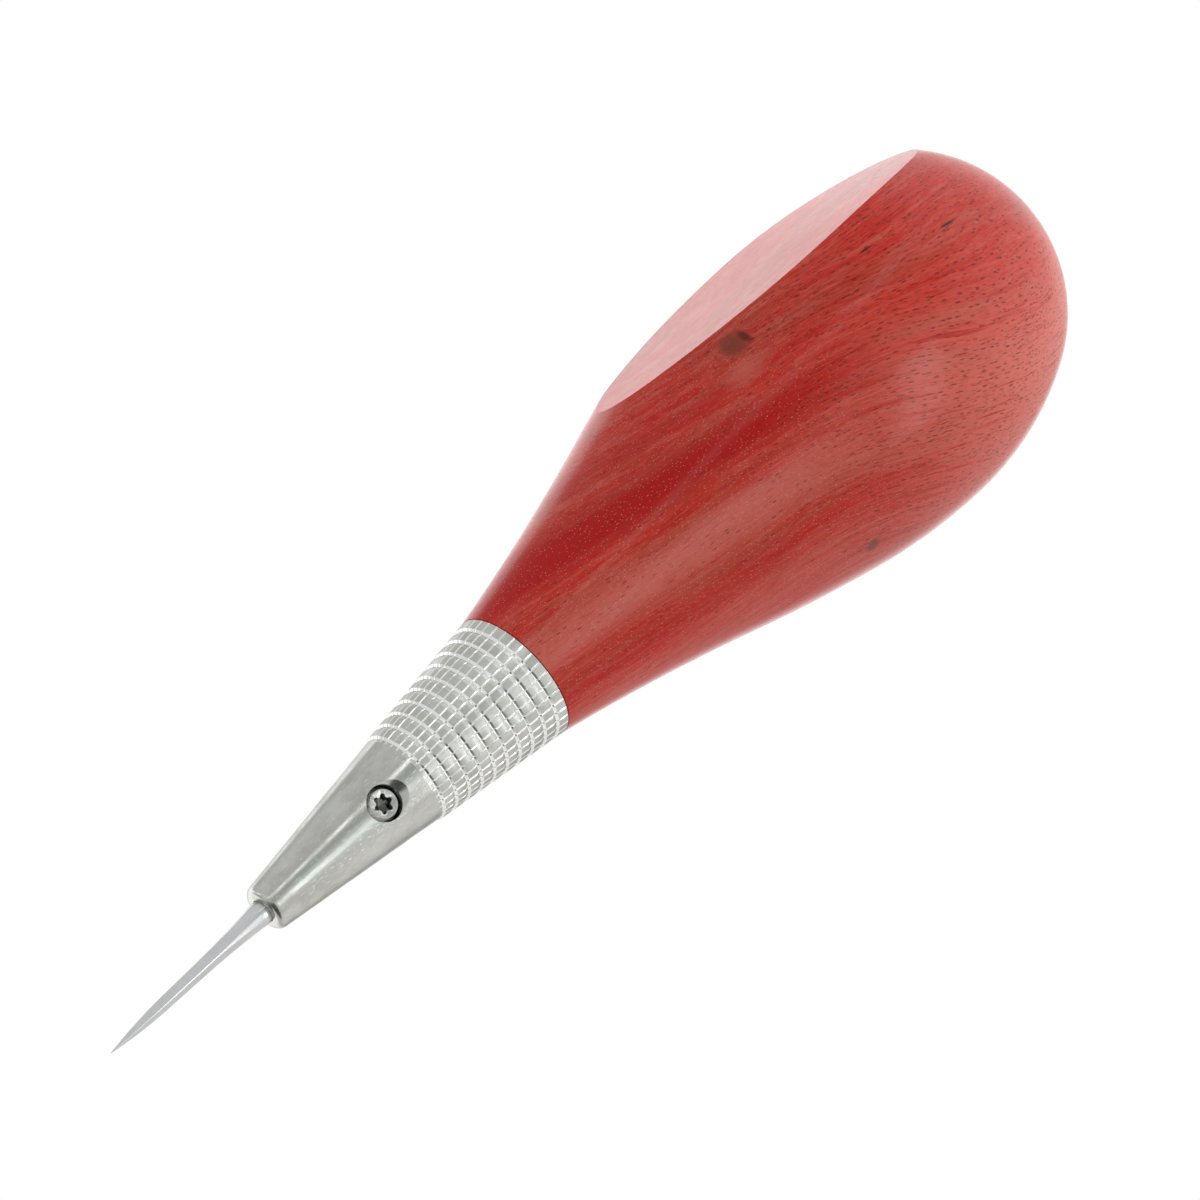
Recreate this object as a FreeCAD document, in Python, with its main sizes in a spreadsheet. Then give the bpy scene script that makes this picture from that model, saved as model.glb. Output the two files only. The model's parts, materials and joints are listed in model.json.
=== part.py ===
import FreeCAD, Part
import os

import Sketcher
from FreeCAD import Placement, Rotation, Vector

# Scratch awl: a turned palm handle, a metal chuck and a blade held by one clamp screw.
# The awl lies on the flat of its handle, on z = 0, with its tip towards +X. The origin is
# the middle of that flat.
# Each piece is drawn in the turning frame: x runs along the tool's axis, and x = 0 is the
# chuck's nose. A station is a distance measured back from the nose, towards the butt.

DIMENSIONS = {
    # how the tool lies
    "rest_station": 92.0,         # station of the middle of the handle's flat
    "axis_height": 15.1,          # tool's axis above the flat
    "screw_droop": 7.0,           # degrees by which the clamp screw points below level
    # handle, a chain of tangent arcs
    "neck_station": 40.4,
    "neck_radius": 8.1,
    "neck_lean": 11.15,           # degrees by which the handle opens at the neck
    "neck_hollow": 284.0,         # hollow arc behind the neck
    "shoulder_round": 225.0,      # first swelling arc
    "crown_round": 70.0,          # arc that reaches the widest place
    "belly_station": 97.4,
    "belly_radius": 20.25,
    "butt_round": 18.4,           # arc that closes the end
    "butt_station": 123.6,
    "flat_station": 98.0,         # where the thumb flat starts to roll off
    "flat_rise": 2.85,            # how far it has rolled off at the butt
    "handle_hole_depth": 16.0,
    # insert and stud, which join the handle to the chuck
    "insert_radius": 4.5,
    "insert_length": 13.0,
    "insert_bevel": 0.5,
    "drive_slot_width": 1.2,
    "drive_slot_depth": 1.5,
    "stud_radius": 3.0,
    "stud_bevel": 0.5,
    "stud_in_chuck": 13.0,
    "stud_in_insert": 12.0,
    # chuck
    "nose_radius": 2.85,
    "nose_round": 0.95,
    "cone_station": 22.1,         # where the smooth cone ends
    "cone_radius": 5.64,
    "blade_bore_radius": 1.43,
    "bore_bevel": 0.12,
    "stud_hole_depth": 14.0,
    # grip: rings turned round the chuck, and flutes along it
    "grip_taper": 7.17,           # degrees
    "ring_count": 10,
    "ring_pitch": 1.8,
    "ring_depth": 0.2,
    "ring_ramp": 0.35,            # sloping side
    "ring_floor": 0.5,
    "ring_step": 0.05,            # steep side
    "flute_count": 40,
    "flute_width": 0.28,
    "flute_depth": 0.25,
    # clamp screw's hole; heights are above the tool's axis
    "screw_station": 17.1,
    "screw_hole_radius": 2.0,
    "screw_hole_foot": 0.6,
    "screw_hole_top": 6.2,
    "sink_radius": 2.55,          # countersink, where it meets the cone's surface
    "sink_height": 5.0,
    # clamp screw
    "screw_radius": 1.975,
    "screw_foot": 1.5,
    "screw_length": 2.8,
    "screw_bevel": 0.35,
    "socket_core_radius": 0.85,
    "socket_lobe_radius": 0.3,
    "socket_lobe_offset": 0.855,
    "socket_lobe_count": 6,
    "socket_depth": 1.3,
    "pad_bore_radius": 1.0,
    "pad_bore_depth": 0.7,
    # soft pad in the clamp screw's end
    "pad_foot": 1.03,
    "pad_head_radius": 1.25,
    "pad_head_length": 0.45,
    "pad_stem_radius": 0.96,
    "pad_stem_length": 0.6,
    # blade
    "blade_radius": 1.4,
    "blade_reach": 24.0,          # nose to tip
    "blade_tail": 27.3,           # nose to rear end
    "blade_tail_bevel": 0.3,
    "clamp_flat_height": 1.0,
    "clamp_flat_station": 14.1,
    "facet_count": 4,
    "facet_turn": 34.0,           # degrees from level to the first facet's normal
    "tip_radius": 0.03,
    "point_length": 8.5,          # tip to the end of the rounded point
    "point_radius": 0.765,
    "taper_length": 15.0,         # tip to the end of the straight taper
    "taper_radius": 0.892,
    "hollow_length": 23.2,        # tip to the place where the taper reaches the full shank
    "facet_length": 23.6,         # tip to the place where the facets leave the shank
    "facet_depth": 0.75,          # facet's distance from the axis, as a share of the radius
}
OVERSHOOT = 2.0                   # how far a cutting outline stands outside the metal
H_AXIS = -1                       # a sketch's own horizontal and vertical axes
V_AXIS = -2

os.makedirs("parts", exist_ok=True)
doc = FreeCAD.newDocument("scratch_awl")


def fill_sheet():
    sheet = doc.addObject("Spreadsheet::Sheet", "Dim")
    for row, (alias, value) in enumerate(DIMENSIONS.items(), start=1):
        cell = "A%d" % row
        sheet.set(cell, str(value))
        sheet.setAlias(cell, alias)
    doc.recompute()
    return sheet


sheet = fill_sheet()


def value_of(expression):
    return float(sheet.evalExpression(expression))


# ---- sketches ----


def origin_feature(body, role):
    return next(item for item in body.Origin.OriginFeatures if item.Role == role)


def sketch_on(body, name, role):
    sketch = body.newObject("Sketcher::SketchObject", name)
    sketch.AttachmentSupport = [(origin_feature(body, role), "")]
    sketch.MapMode = "FlatFace"
    return sketch


def end_near(sketch, side, point):
    """1 or 2: the end of a side that lies at a point."""
    near_start = sketch.getPoint(side, 1).distanceToPoint(point)
    near_end = sketch.getPoint(side, 2).distanceToPoint(point)
    return 1 if near_start < near_end else 2


def pin(sketch, side, end, across, up):
    """Hold an end of a side at two expressions; None leaves that way free."""
    for kind, axis, expression in (("DistanceX", V_AXIS, across), ("DistanceY", H_AXIS, up)):
        if expression is None:
            continue
        if expression == "0":
            sketch.addConstraint(Sketcher.Constraint("PointOnObject", side, end, axis))
            continue
        place = value_of(expression)
        index = sketch.addConstraint(Sketcher.Constraint(kind, H_AXIS, 1, side, end, place))
        sketch.setExpression("Constraints[%d]" % index, expression)


def size_arc(sketch, side, expression):
    index = sketch.addConstraint(Sketcher.Constraint("Radius", side, value_of(expression)))
    sketch.setExpression("Constraints[%d]" % index, expression)


def arc_about(centre, start, end):
    bulge = (start + end) / 2 - centre
    middle = centre + bulge.normalize() * (start - centre).Length
    return Part.Arc(start, middle, end)


def arc_leaving(start, heading, end):
    """Arc that leaves start along heading and reaches end."""
    chord = end - start
    normal = Vector(-heading.y, heading.x, 0).normalize()
    radius = chord.dot(chord) / (2 * normal.dot(chord))
    return arc_about(start + normal * radius, start, end)


def draw_outline(sketch, corners, leaving=(), arriving=()):
    """Closed outline; each corner is a pair of expressions and side n starts at corner n.
    Sides are straight, apart from arcs: those in leaving run on smoothly from the straight
    side before them, those in arriving run smoothly into the straight side after them."""
    points = [Vector(value_of(across), value_of(up), 0) for across, up in corners]
    count = len(points)
    for side, start in enumerate(points):
        end = points[(side + 1) % count]
        if side in leaving:
            sketch.addGeometry(arc_leaving(start, start - points[side - 1], end))
        elif side in arriving:
            sketch.addGeometry(arc_leaving(end, end - points[(side + 2) % count], start))
        else:
            sketch.addGeometry(Part.LineSegment(start, end))
    for corner, point in enumerate(points):
        before = (corner - 1) % count
        smooth = corner in leaving or before in arriving
        kind = "Tangent" if smooth else "Coincident"
        near = end_near(sketch, corner, point)
        join = Sketcher.Constraint(kind, before, end_near(sketch, before, point), corner, near)
        sketch.addConstraint(join)
        pin(sketch, corner, near, *corners[corner])


def draw_circle(sketch, across, radius):
    centre = Vector(value_of(across), 0, 0)
    sketch.addGeometry(Part.Circle(centre, Vector(0, 0, 1), value_of(radius)))
    pin(sketch, 0, 3, across, "0")
    size_arc(sketch, 0, radius)


# ---- features ----


def new_body(label):
    body = doc.addObject("PartDesign::Body", label)
    body.Label = label
    return body


def turn(body, name, corners, kind="Revolution", axis="H_Axis"):
    """Solid, or cut, turned from an outline drawn on the body's XZ plane."""
    sketch = sketch_on(body, name + "_outline", "XZ_Plane")
    draw_outline(sketch, corners)
    feature = body.newObject("PartDesign::" + kind, name)
    feature.Profile = sketch
    feature.ReferenceAxis = (sketch, [axis])
    feature.Angle = 360
    doc.recompute()
    return feature


def cut_through(body, name, sketch, width):
    """Pocket that reaches equally far to both sides of its sketch."""
    pocket = body.newObject("PartDesign::Pocket", name)
    pocket.Profile = sketch
    pocket.Midplane = True
    pocket.setExpression("Length", width)
    doc.recompute()
    return pocket


def sink(body, name, sketch, depth):
    pocket = body.newObject("PartDesign::Pocket", name)
    pocket.Profile = sketch
    pocket.setExpression("Length", depth)
    doc.recompute()
    return pocket


def repeat_round(body, name, feature, role, count):
    pattern = body.newObject("PartDesign::PolarPattern", name)
    pattern.Originals = [feature]
    pattern.Axis = (origin_feature(body, role), [""])
    pattern.Angle = 360
    pattern.setExpression("Occurrences", count)
    body.Tip = pattern
    doc.recompute()
    return pattern


def lay_down(body, tilt="0", station="0"):
    """Place a piece from the turning frame into the frame in which the tool lies."""
    body.Placement = Placement(Vector(), Rotation(Vector(1, 0, 0), 1))
    body.setExpression("Placement.Base.x", "Dim.rest_station - (%s)" % station)
    body.setExpression("Placement.Base.z", "Dim.axis_height")
    body.setExpression("Placement.Rotation.Angle", tilt)


# ---- handle ----


def meeting_point(centre_a, reach_a, centre_b, reach_b):
    """The lower point that lies reach_a from one centre and reach_b from the other."""
    across = centre_b - centre_a
    gap = across.Length
    along = (gap ** 2 + reach_a ** 2 - reach_b ** 2) / (2 * gap)
    aside = (reach_a ** 2 - along ** 2) ** 0.5
    way = across / gap
    normal = Vector(-way.y, way.x, 0)
    points = [centre_a + way * along + normal * side for side in (aside, -aside)]
    return min(points, key=lambda point: point.y)


def draw_handle_side(sketch):
    """Half of the handle's side view: five tangent arcs, the axis and the front face."""
    hollow = value_of("Dim.neck_hollow")
    shoulder = value_of("Dim.shoulder_round")
    crown = value_of("Dim.crown_round")
    butt = value_of("Dim.butt_round")
    neck = Vector(-value_of("Dim.neck_station"), value_of("Dim.neck_radius"), 0)
    belly = Vector(-value_of("Dim.belly_station"), value_of("Dim.belly_radius"), 0)
    pole = Vector(-value_of("Dim.butt_station"), 0, 0)
    front = Vector(neck.x, 0, 0)

    hollow_centre_x = "-Dim.neck_station + Dim.neck_hollow * sin(Dim.neck_lean)"
    hollow_rise = value_of("Dim.neck_hollow * cos(Dim.neck_lean)")
    hollow_centre = Vector(value_of(hollow_centre_x), neck.y + hollow_rise, 0)
    crown_centre = belly - Vector(0, crown, 0)
    shoulder_centre = meeting_point(
        hollow_centre, hollow + shoulder, crown_centre, shoulder - crown
    )
    butt_centre = pole + Vector(butt, 0, 0)
    run = belly.x - butt_centre.x
    flank = (run ** 2 + belly.y ** 2 - butt ** 2) / (2 * (belly.y - butt))
    flank_centre = belly - Vector(0, flank, 0)

    def towards(centre, other, radius):
        return centre + (other - centre).normalize() * radius

    end_of_hollow = towards(hollow_centre, shoulder_centre, hollow)
    end_of_shoulder = towards(crown_centre, shoulder_centre, -crown)
    end_of_flank = towards(butt_centre, flank_centre, -butt)
    chain = [neck, end_of_hollow, end_of_shoulder, belly, end_of_flank, pole]
    centres = [hollow_centre, shoulder_centre, crown_centre, flank_centre, butt_centre]
    arcs = [arc_about(c, a, b) for c, a, b in zip(centres, chain, chain[1:])]
    axis_side = len(arcs)
    front_side = axis_side + 1
    sketch.addGeometry(arcs + [Part.LineSegment(pole, front), Part.LineSegment(front, neck)])

    for side, point in enumerate(chain[1:-1]):
        ends = end_near(sketch, side, point), end_near(sketch, side + 1, point)
        sketch.addConstraint(
            Sketcher.Constraint("Tangent", side, ends[0], side + 1, ends[1])
        )
    last_end = end_near(sketch, axis_side - 1, pole)
    first_end = end_near(sketch, 0, neck)
    sketch.addConstraint(Sketcher.Constraint("Coincident", axis_side - 1, last_end, axis_side, 1))
    sketch.addConstraint(Sketcher.Constraint("Coincident", axis_side, 2, front_side, 1))
    sketch.addConstraint(Sketcher.Constraint("Coincident", front_side, 2, 0, first_end))

    pin(sketch, front_side, 1, "-Dim.neck_station", "0")
    pin(sketch, front_side, 2, "-Dim.neck_station", "Dim.neck_radius")
    pin(sketch, 0, 3, hollow_centre_x, None)
    pin(sketch, 2, 3, "-Dim.belly_station", None)
    pin(sketch, 2, end_near(sketch, 2, belly), "-Dim.belly_station", "Dim.belly_radius")
    pin(sketch, 4, 3, None, "0")
    pin(sketch, axis_side, 1, "-Dim.butt_station", "0")
    size_arc(sketch, 0, "Dim.neck_hollow")
    size_arc(sketch, 1, "Dim.shoulder_round")
    size_arc(sketch, 2, "Dim.crown_round")
    size_arc(sketch, 4, "Dim.butt_round")


def make_handle():
    body = new_body("handle")
    side_view = sketch_on(body, "handle_outline", "XZ_Plane")
    draw_handle_side(side_view)
    bulb = body.newObject("PartDesign::Revolution", "handle_bulb")
    bulb.Profile = side_view
    bulb.ReferenceAxis = (side_view, ["H_Axis"])
    bulb.Angle = 360
    doc.recompute()

    flat = sketch_on(body, "flat_outline", "XZ_Plane")
    draw_outline(flat, [
        ("-Dim.neck_station", "-Dim.axis_height"),
        ("-Dim.neck_station", "-Dim.axis_height - Dim.belly_radius"),
        ("-Dim.butt_station", "-Dim.axis_height - Dim.belly_radius"),
        ("-Dim.butt_station", "-Dim.axis_height + Dim.flat_rise"),
        ("-Dim.flat_station", "-Dim.axis_height"),
    ], arriving=(3,))
    cut_through(body, "thumb_flat", flat, "4 * Dim.belly_radius")
    turn(body, "insert_hole", [
        ("-Dim.neck_station", "0"),
        ("-Dim.neck_station", "Dim.insert_radius"),
        ("-Dim.neck_station - Dim.handle_hole_depth", "Dim.insert_radius"),
        ("-Dim.neck_station - Dim.handle_hole_depth", "0"),
    ], kind="Groove")
    lay_down(body)
    return body


# ---- insert and stud, hidden inside the handle and the chuck ----


def make_threaded_insert():
    body = new_body("threaded_insert")
    turn(body, "insert_sleeve", [
        ("-Dim.neck_station", "Dim.stud_radius"),
        ("-Dim.neck_station", "Dim.insert_radius"),
        ("-Dim.neck_station - Dim.insert_length + Dim.insert_bevel", "Dim.insert_radius"),
        ("-Dim.neck_station - Dim.insert_length", "Dim.insert_radius - Dim.insert_bevel"),
        ("-Dim.neck_station - Dim.insert_length", "Dim.stud_radius"),
    ])
    slot = sketch_on(body, "slot_outline", "XZ_Plane")
    draw_outline(slot, [
        ("-Dim.neck_station", "-Dim.drive_slot_width / 2"),
        ("-Dim.neck_station", "Dim.drive_slot_width / 2"),
        ("-Dim.neck_station - Dim.drive_slot_depth", "Dim.drive_slot_width / 2"),
        ("-Dim.neck_station - Dim.drive_slot_depth", "-Dim.drive_slot_width / 2"),
    ])
    cut_through(body, "drive_slot", slot, "4 * Dim.insert_radius")
    lay_down(body)
    return body


def make_joining_stud():
    body = new_body("joining_stud")
    turn(body, "stud_bar", [
        ("-Dim.neck_station + Dim.stud_in_chuck", "0"),
        ("-Dim.neck_station + Dim.stud_in_chuck", "Dim.stud_radius - Dim.stud_bevel"),
        ("-Dim.neck_station + Dim.stud_in_chuck - Dim.stud_bevel", "Dim.stud_radius"),
        ("-Dim.neck_station - Dim.stud_in_insert + Dim.stud_bevel", "Dim.stud_radius"),
        ("-Dim.neck_station - Dim.stud_in_insert", "Dim.stud_radius - Dim.stud_bevel"),
        ("-Dim.neck_station - Dim.stud_in_insert", "0"),
    ])
    lay_down(body)
    return body


# ---- chuck ----


def grip_radius(station):
    return "Dim.neck_radius - (Dim.neck_station - (%s)) * tan(Dim.grip_taper)" % station


def ring_corners():
    """Corners of the turned rings, from the cone back to the handle."""
    corners = []
    for ring in range(DIMENSIONS["ring_count"]):
        start = "Dim.cone_station + %d * Dim.ring_pitch" % ring
        floor_start = start + " + Dim.ring_ramp"
        floor_end = floor_start + " + Dim.ring_floor"
        land_start = floor_end + " + Dim.ring_step"
        if ring > 0:
            corners.append(("-(%s)" % start, grip_radius(start)))
        corners.append(("-(%s)" % floor_start, grip_radius(floor_start) + " - Dim.ring_depth"))
        corners.append(("-(%s)" % floor_end, grip_radius(floor_end) + " - Dim.ring_depth"))
        corners.append(("-(%s)" % land_start, grip_radius(land_start)))
    return corners


def round_nose(body, blank):
    nose_edges = []
    for number, edge in enumerate(blank.Shape.Edges, start=1):
        box = edge.BoundBox
        if box.XLength < 0.001 and abs(box.XMax) < 0.001 and box.YLength > 1:
            nose_edges.append("Edge%d" % number)
    fillet = body.newObject("PartDesign::Fillet", "nose_edge")
    fillet.Base = (blank, nose_edges)
    fillet.setExpression("Radius", "Dim.nose_round")
    doc.recompute()


def cut_flutes(body):
    """Narrow slots along the grip, all at one depth below its lands."""
    front = "Dim.cone_station + Dim.ring_ramp"
    strip = sketch_on(body, "flute_outline", "XZ_Plane")
    draw_outline(strip, [
        ("-(%s)" % front, grip_radius(front) + " - Dim.flute_depth"),
        ("-(%s)" % front, "Dim.neck_radius + %g" % OVERSHOOT),
        ("-Dim.neck_station", "Dim.neck_radius + %g" % OVERSHOOT),
        ("-Dim.neck_station", "Dim.neck_radius - Dim.flute_depth"),
    ])
    flute = cut_through(body, "flute", strip, "Dim.flute_width")
    repeat_round(body, "flutes", flute, "X_Axis", "Dim.flute_count")


def cut_screw_hole(body):
    """Plain hole and countersink, turned about the clamp screw's own axis."""
    side = sketch_on(body, "screw_hole_outline", "XY_Plane")
    sink_foot = "Dim.sink_height - (Dim.sink_radius - Dim.screw_hole_radius)"
    sink_mouth = "Dim.sink_radius + Dim.screw_hole_top - Dim.sink_height"
    draw_outline(side, [
        ("-Dim.screw_station", "-Dim.screw_hole_foot"),
        ("-Dim.screw_station + Dim.screw_hole_radius", "-Dim.screw_hole_foot"),
        ("-Dim.screw_station + Dim.screw_hole_radius", "-(%s)" % sink_foot),
        ("-Dim.screw_station + %s" % sink_mouth, "-Dim.screw_hole_top"),
        ("-Dim.screw_station", "-Dim.screw_hole_top"),
    ])
    x = -value_of("Dim.screw_station")
    inner = Vector(x, -value_of("Dim.screw_hole_foot"), 0)
    outer = Vector(x, -value_of("Dim.screw_hole_top"), 0)
    axis = side.addGeometry(Part.LineSegment(inner, outer), True)
    pin(side, axis, 1, "-Dim.screw_station", "-Dim.screw_hole_foot")
    pin(side, axis, 2, "-Dim.screw_station", "-Dim.screw_hole_top")
    hole = body.newObject("PartDesign::Groove", "screw_hole")
    hole.Profile = side
    hole.ReferenceAxis = (side, ["Axis0"])
    hole.Angle = 360
    doc.recompute()


def make_chuck():
    body = new_body("chuck")
    blank = turn(body, "chuck_blank", [
        ("0", "0"),
        ("0", "Dim.nose_radius"),
        ("-Dim.cone_station", "Dim.cone_radius"),
    ] + ring_corners() + [
        ("-Dim.neck_station", "Dim.neck_radius"),
        ("-Dim.neck_station", "0"),
    ])
    round_nose(body, blank)
    turn(body, "bores", [
        ("0", "0"),
        ("0", "Dim.blade_bore_radius + Dim.bore_bevel"),
        ("-Dim.bore_bevel", "Dim.blade_bore_radius"),
        ("-Dim.neck_station + Dim.stud_hole_depth", "Dim.blade_bore_radius"),
        ("-Dim.neck_station + Dim.stud_hole_depth", "Dim.stud_radius"),
        ("-Dim.neck_station", "Dim.stud_radius"),
        ("-Dim.neck_station", "0"),
    ], kind="Groove")
    cut_screw_hole(body)
    cut_flutes(body)
    lay_down(body, tilt="Dim.screw_droop")
    return body


# ---- clamp screw and its pad, drawn upright: z is the height above the tool's axis ----


def socket_sketch(body, name, across, radius):
    sketch = sketch_on(body, name, "XY_Plane")
    sketch.setExpression("AttachmentOffset.Base.z", "Dim.screw_foot + Dim.screw_length")
    draw_circle(sketch, across, radius)
    return sketch


def make_clamp_screw():
    body = new_body("clamp_screw")
    top = "Dim.screw_foot + Dim.screw_length"
    turn(body, "screw_blank", [
        ("0", "Dim.screw_foot"),
        ("Dim.screw_radius - Dim.screw_bevel", "Dim.screw_foot"),
        ("Dim.screw_radius", "Dim.screw_foot + Dim.screw_bevel"),
        ("Dim.screw_radius", top + " - Dim.screw_bevel"),
        ("Dim.screw_radius - Dim.screw_bevel", top),
        ("0", top),
    ], axis="V_Axis")
    turn(body, "pad_bore", [
        ("0", "Dim.screw_foot"),
        ("Dim.pad_bore_radius", "Dim.screw_foot"),
        ("Dim.pad_bore_radius", "Dim.screw_foot + Dim.pad_bore_depth"),
        ("0", "Dim.screw_foot + Dim.pad_bore_depth"),
    ], kind="Groove", axis="V_Axis")
    core = socket_sketch(body, "socket_core_outline", "0", "Dim.socket_core_radius")
    sink(body, "socket_core", core, "Dim.socket_depth")
    lobe = socket_sketch(
        body, "socket_lobe_outline", "Dim.socket_lobe_offset", "Dim.socket_lobe_radius"
    )
    first_lobe = sink(body, "socket_lobe", lobe, "Dim.socket_depth")
    repeat_round(body, "socket_lobes", first_lobe, "Z_Axis", "Dim.socket_lobe_count")
    lay_down(body, tilt="90 + Dim.screw_droop", station="Dim.screw_station")
    return body


def make_clamp_pad():
    body = new_body("clamp_pad")
    head_top = "Dim.pad_foot + Dim.pad_head_length"
    turn(body, "pad_button", [
        ("0", "Dim.pad_foot"),
        ("Dim.pad_head_radius", "Dim.pad_foot"),
        ("Dim.pad_head_radius", head_top),
        ("Dim.pad_stem_radius", head_top),
        ("Dim.pad_stem_radius", head_top + " + Dim.pad_stem_length"),
        ("0", head_top + " + Dim.pad_stem_length"),
    ], axis="V_Axis")
    lay_down(body, tilt="90 + Dim.screw_droop", station="Dim.screw_station")
    return body


# ---- blade ----

POINT = (0,)                      # the arcs among the sides of a ground outline
RUN_OUT = (2,)


def ground_corners(share, length):
    """First corners of an outline whose upper side is the ground part of the blade: a rounded
    point, a straight taper and a hollow run-out of a given length. Heights are a share of
    the blank's radius."""
    return [
        ("Dim.blade_reach", "Dim.tip_radius * %s" % share),
        ("Dim.blade_reach - Dim.point_length", "Dim.point_radius * %s" % share),
        ("Dim.blade_reach - Dim.taper_length", "Dim.taper_radius * %s" % share),
        ("Dim.blade_reach - %s" % length, "Dim.blade_radius"),
    ]


def make_blade():
    body = new_body("blade")
    outline = sketch_on(body, "blade_outline", "XZ_Plane")
    draw_outline(outline, ground_corners("1", "Dim.hollow_length") + [
        ("-Dim.blade_tail + Dim.blade_tail_bevel", "Dim.blade_radius"),
        ("-Dim.blade_tail", "Dim.blade_radius - Dim.blade_tail_bevel"),
        ("-Dim.blade_tail", "0"),
        ("Dim.blade_reach", "0"),
    ], leaving=RUN_OUT, arriving=POINT)
    blank = body.newObject("PartDesign::Revolution", "blade_blank")
    blank.Profile = outline
    blank.ReferenceAxis = (outline, ["H_Axis"])
    blank.Angle = 360
    doc.recompute()

    side = sketch_on(body, "facet_outline", "XZ_Plane")
    side.AttachmentOffset = Placement(Vector(), Rotation(Vector(1, 0, 0), 1))
    side.setExpression("AttachmentOffset.Rotation.Angle", "Dim.facet_turn")
    draw_outline(side, ground_corners("Dim.facet_depth", "Dim.facet_length") + [
        ("Dim.blade_reach - Dim.facet_length", "Dim.blade_radius + %g" % OVERSHOOT),
        ("Dim.blade_reach", "Dim.blade_radius + %g" % OVERSHOOT),
    ], leaving=RUN_OUT, arriving=POINT)
    facet = cut_through(body, "facet", side, "4 * Dim.blade_radius")
    repeat_round(body, "facets", facet, "X_Axis", "Dim.facet_count")
    seat = sketch_on(body, "clamp_flat_outline", "XY_Plane")
    draw_outline(seat, [
        ("-Dim.blade_tail", "-Dim.clamp_flat_height"),
        ("-Dim.clamp_flat_station", "-Dim.clamp_flat_height"),
        ("-Dim.clamp_flat_station", "-Dim.blade_radius - %g" % OVERSHOOT),
        ("-Dim.blade_tail", "-Dim.blade_radius - %g" % OVERSHOOT),
    ])
    cut_through(body, "clamp_flat", seat, "4 * Dim.blade_radius")
    lay_down(body, tilt="Dim.screw_droop")
    return body


# ---- checks and export ----


def check_document():
    for item in doc.Objects:
        if "Invalid" in item.State or "Error" in item.State:
            raise RuntimeError("%s failed: %s" % (item.Name, item.State))


def check_cuts(body):
    """Every feature after the first one has to take material away."""
    features = [item for item in body.Group if item.isDerivedFrom("PartDesign::Feature")]
    for before, after in zip(features, features[1:]):
        if after.Shape.Volume >= before.Shape.Volume:
            raise RuntimeError("%s cuts nothing" % after.Name)


def export(body):
    shape = body.Shape
    if shape.isNull() or not shape.isValid() or len(shape.Solids) != 1:
        raise RuntimeError("%s is not one valid solid" % body.Label)
    shape.exportStep("parts/%s.step" % body.Label)
    print("%-16s %9.2f mm3" % (body.Label, shape.Volume))


pieces = [
    make_handle(),
    make_threaded_insert(),
    make_joining_stud(),
    make_chuck(),
    make_clamp_pad(),
    make_clamp_screw(),
    make_blade(),
]
doc.recompute()
check_document()
for piece in pieces:
    check_cuts(piece)
    export(piece)
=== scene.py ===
import json
import math
import bmesh
import bpy
from mathutils import Matrix, Vector


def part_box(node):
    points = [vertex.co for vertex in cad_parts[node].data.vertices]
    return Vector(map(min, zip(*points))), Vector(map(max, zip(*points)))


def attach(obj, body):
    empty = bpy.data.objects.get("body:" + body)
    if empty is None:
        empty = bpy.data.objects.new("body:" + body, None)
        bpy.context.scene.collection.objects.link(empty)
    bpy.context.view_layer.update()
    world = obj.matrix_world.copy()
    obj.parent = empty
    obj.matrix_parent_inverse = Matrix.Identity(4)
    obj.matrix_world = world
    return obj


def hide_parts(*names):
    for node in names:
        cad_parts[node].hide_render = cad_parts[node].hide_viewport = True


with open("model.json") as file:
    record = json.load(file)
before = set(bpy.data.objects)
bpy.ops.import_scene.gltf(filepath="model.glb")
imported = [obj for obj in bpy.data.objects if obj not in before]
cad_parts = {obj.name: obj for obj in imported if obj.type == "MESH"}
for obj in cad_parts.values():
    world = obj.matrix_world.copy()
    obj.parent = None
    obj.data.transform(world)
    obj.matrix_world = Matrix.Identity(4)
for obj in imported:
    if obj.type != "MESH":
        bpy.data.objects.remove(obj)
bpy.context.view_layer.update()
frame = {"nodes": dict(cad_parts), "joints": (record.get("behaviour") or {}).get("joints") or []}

mm = 0.001
fullTurn = 2 * math.pi

# where things are: all taken from the frame
screwJoint = next(j for j in frame["joints"] if j["name"] == "clamp_screw_turn")
screwSpot = Vector(screwJoint["pos_m"])          # on the tool's axis, under the screw
screwWay = Vector(screwJoint["axis"]).normalized()
axisHeight = screwSpot.z
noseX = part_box("chuck")[1].x
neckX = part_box("chuck")[0].x
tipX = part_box("blade")[1].x
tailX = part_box("blade")[0].x
toolAxis = Vector((1, 0, 0))
droop = math.atan2(-screwWay.z, -screwWay.y)     # the chuck is turned this far round the axis


def wire(bm, points):
    verts = [bm.verts.new((x, 0, r)) for x, r in points]
    return verts, [bm.edges.new(pair) for pair in zip(verts, verts[1:])]


def turn(bm, points, steps):
    # points are (x, radius) in metres; the x axis is the lathe's axis
    verts, edges = wire(bm, points)
    bmesh.ops.spin(bm, geom=verts + edges, cent=(0, 0, 0), axis=(1, 0, 0), dvec=(0, 0, 0),
                   angle=fullTurn, steps=steps, use_merge=True, use_duplicate=False)
    bmesh.ops.remove_doubles(bm, verts=bm.verts, dist=1e-6)
    bmesh.ops.dissolve_degenerate(bm, edges=bm.edges, dist=1e-7)
    bmesh.ops.recalc_face_normals(bm, faces=bm.faces)


def finishMesh(bm, name, sharp=30):
    mesh = bpy.data.meshes.new(name)
    bm.to_mesh(mesh)
    bm.free()
    mesh.shade_smooth()
    mesh.set_sharp_from_angle(angle=math.radians(sharp))
    piece = bpy.data.objects.new(name, mesh)
    bpy.context.scene.collection.objects.link(piece)
    return piece


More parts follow.
